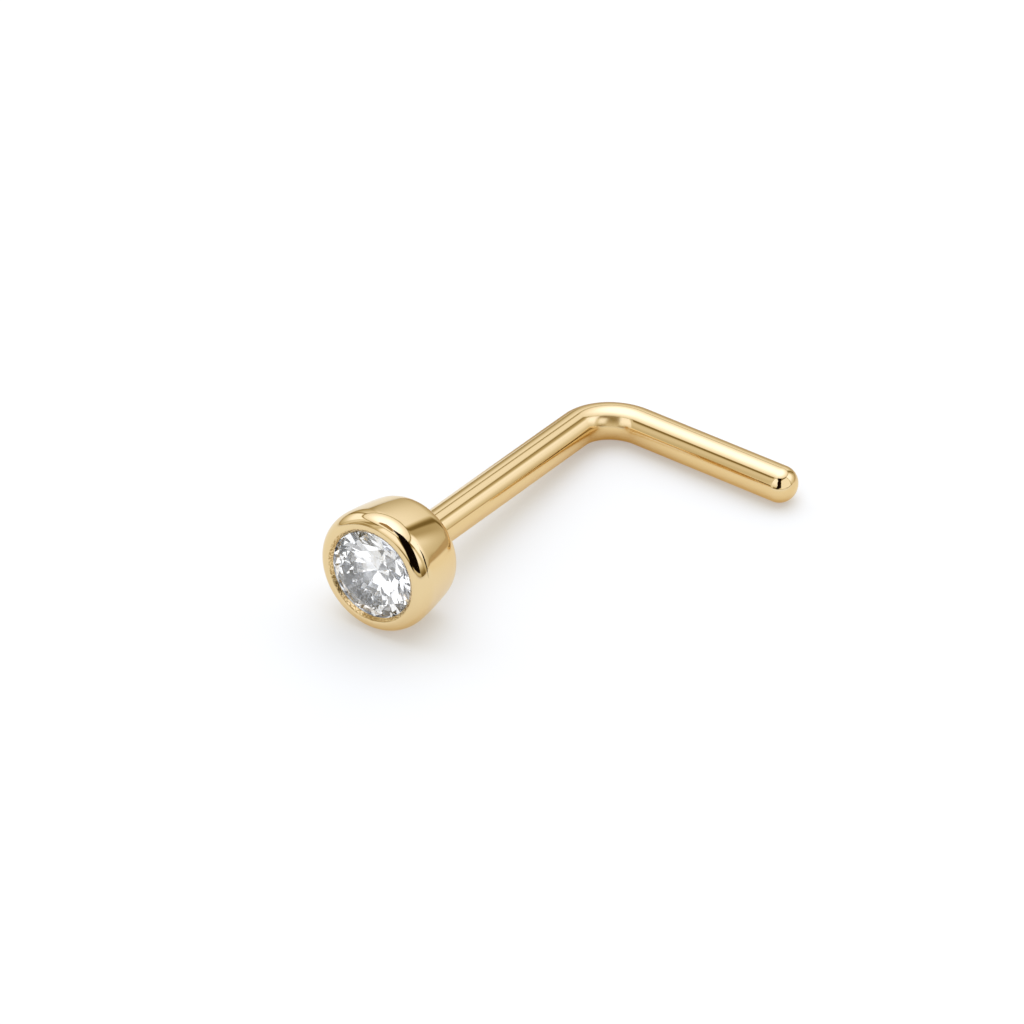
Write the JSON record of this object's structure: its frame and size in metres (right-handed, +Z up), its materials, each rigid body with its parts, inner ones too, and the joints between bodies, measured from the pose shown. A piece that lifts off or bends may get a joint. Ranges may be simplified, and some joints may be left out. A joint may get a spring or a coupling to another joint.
{
  "type": "nose stud",
  "caption": "L-shaped nose stud: a round cut stone in a smooth gold cup, on a round wire post that bends at a right angle into a short leg.",
  "frame": {"origin": "on the table that the stud lies on, under the middle of its bounding box", "axes": "+X along the post towards the head, level with the table; +Y along the leg towards its tip; +Z up"},
  "size_m": [0.0089, 0.0062, 0.0026],
  "materials": {
    "polished_gold": "high polish yellow gold",
    "cut_stone": "clear, polished flat facets"
  },
  "bodies": {
    "root": {"setting_and_post": "polished_gold", "stone": "cut_stone"}
  },
  "joints": []
}
